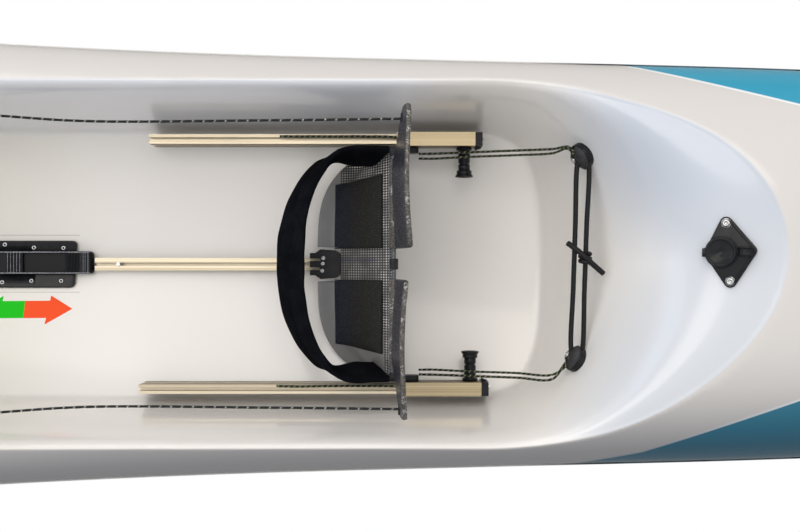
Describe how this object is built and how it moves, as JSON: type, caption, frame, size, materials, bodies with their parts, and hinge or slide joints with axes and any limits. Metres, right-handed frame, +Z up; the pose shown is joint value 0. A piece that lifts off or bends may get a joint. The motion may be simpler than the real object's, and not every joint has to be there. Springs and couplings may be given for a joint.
{
  "type": "surfski",
  "caption": "Surfski with a moulded footwell, sliding footboard with tiller pedals, foot strap, self-bailer, drain plug and kick-up rudder.",
  "frame": {"origin": "middle of the flat keel line at its underside, half way between bow and stern of the hull", "axes": "+X to the bow, +Y to port, +Z up"},
  "size_m": [5.86, 0.5294, 0.3739],
  "materials": {
    "gelcoat": "polished white gelcoat",
    "hull": "polished gelcoat, white aft and turquoise at the bow",
    "champagne": "champagne anodised, satin",
    "steel": "stainless steel, fine brushed",
    "black": "black moulded nylon, satin",
    "carbon": "clear-coated carbon honeycomb laminate",
    "rubber": "black rubber, matt",
    "cord": "braided cord, black with pale flecks",
    "fabric": "padded knit-faced neoprene",
    "foam": "closed-cell foam",
    "plug": "black moulded nylon, gloss"
  },
  "bodies": {
    "boat": {"hull_shell": "hull", "deck_shell": "gelcoat", "centre_rail": "champagne", "centre_rail_screw": "steel", "bailer_plate": "black", "bailer_duct": "black", "bungee_loop": "cord", "drain_base": "black", "drain_tether": "rubber", "rudder_bracket": "steel", "stern_bulkhead": "foam", "bow_bulkhead": "foam", "bow_carry_handle": "rubber", "stern_carry_handle": "rubber", "port_side_rail": "champagne", "port_rail_end_cap": "black", "port_end_cap_screw": "steel", "port_turning_block": "black", "port_block_hood": "black", "port_block_screw": "steel", "port_forward_cord": "cord", "port_steering_line": "cord", "port_rear_steering_line": "cord", "port_line_conduit": "black", "starboard_side_rail": "champagne", "starboard_rail_end_cap": "black", "starboard_end_cap_screw": "steel", "starboard_turning_block": "black", "starboard_block_hood": "black", "starboard_block_screw": "steel", "starboard_forward_cord": "cord", "starboard_steering_line": "cord", "starboard_rear_steering_line": "cord", "starboard_line_conduit": "black"},
    "board": {"footboard": "carbon", "heel_carriage": "black", "pedal_hinge_rod": "steel", "foot_strap": "fabric", "port_heel_pad": "rubber", "starboard_heel_pad": "rubber", "port_slider": "champagne", "starboard_slider": "champagne", "port_pin_barrel": "black", "starboard_pin_barrel": "black", "port_pin_spring": "steel", "starboard_pin_spring": "steel", "port_cord_tail": "cord", "starboard_cord_tail": "cord"},
    "port_pedal_body": {"port_pedal": "carbon"},
    "starboard_pedal_body": {"starboard_pedal": "carbon"},
    "port_pull": {"port_pull_knob": "black"},
    "starboard_pull": {"starboard_pull_knob": "black"},
    "handle": {"bailer_handle": "rubber"},
    "flap": {"bailer_flap": "black"},
    "plug": {"drain_plug": "plug"},
    "rudder": {"rudder_shaft": "steel", "rudder_head": "black", "rudder_pivot_bolt": "steel"},
    "blade": {"rudder_blade": "carbon"}
  },
  "joints": [
    {"name": "footboard_slide", "type": "slide", "parent": "boat", "child": "board", "axis": [1, 0, 0], "range_m": [-0.208, 0], "deforming": ["port_steering_line", "port_forward_cord", "starboard_steering_line", "starboard_forward_cord"]},
    {"name": "port_pedal_tilt", "type": "hinge", "parent": "board", "child": "port_pedal_body", "pos_m": [0.538, 0, 0.1982], "axis": [0, 1, 0], "range_deg": [-20, 20]},
    {"name": "starboard_pedal_tilt", "type": "hinge", "parent": "board", "child": "starboard_pedal_body", "pos_m": [0.538, 0, 0.1982], "axis": [0, 1, 0], "range_deg": [-20, 20]},
    {"name": "port_pin_pull", "type": "slide", "parent": "board", "child": "port_pull", "axis": [0, -1, 0], "range_m": [0, 0.006], "stiffness_N_per_m": 400, "springref_m": -0.008, "deforming": ["port_pin_spring"]},
    {"name": "starboard_pin_pull", "type": "slide", "parent": "board", "child": "starboard_pull", "axis": [0, 1, 0], "range_m": [0, 0.006], "stiffness_N_per_m": 400, "springref_m": -0.008, "deforming": ["starboard_pin_spring"]},
    {"name": "bailer_slide", "type": "slide", "parent": "boat", "child": "handle", "axis": [1, 0, 0], "range_m": [-0.035, 0]},
    {"name": "bailer_flap_swing", "type": "hinge", "parent": "boat", "child": "flap", "pos_m": [0.1122, 0, 0.0025], "axis": [0, -1, 0], "range_deg": [0, 20]},
    {"name": "drain_plug_turn", "type": "hinge", "parent": "boat", "child": "plug", "pos_m": [0.877, 0.011, 0.29359], "axis": [-0.318, -0.0028, 0.9481], "range_deg": [0, 720]},
    {"name": "rudder_yaw", "type": "hinge", "parent": "boat", "child": "rudder", "pos_m": [-2.775, 0, 0.15], "axis": [0, 0, 1], "range_deg": [-30, 30], "deforming": ["port_rear_steering_line", "starboard_rear_steering_line"]},
    {"name": "rudder_kick", "type": "hinge", "parent": "rudder", "child": "blade", "pos_m": [-2.815, 0, 0.19], "axis": [0, -1, 0], "range_deg": [0, 90]}
  ],
  "couplings": [
    {"joint": "port_pedal_tilt", "follows": "rudder_yaw", "ratio": -0.6667},
    {"joint": "starboard_pedal_tilt", "follows": "rudder_yaw", "ratio": 0.6667}
  ]
}
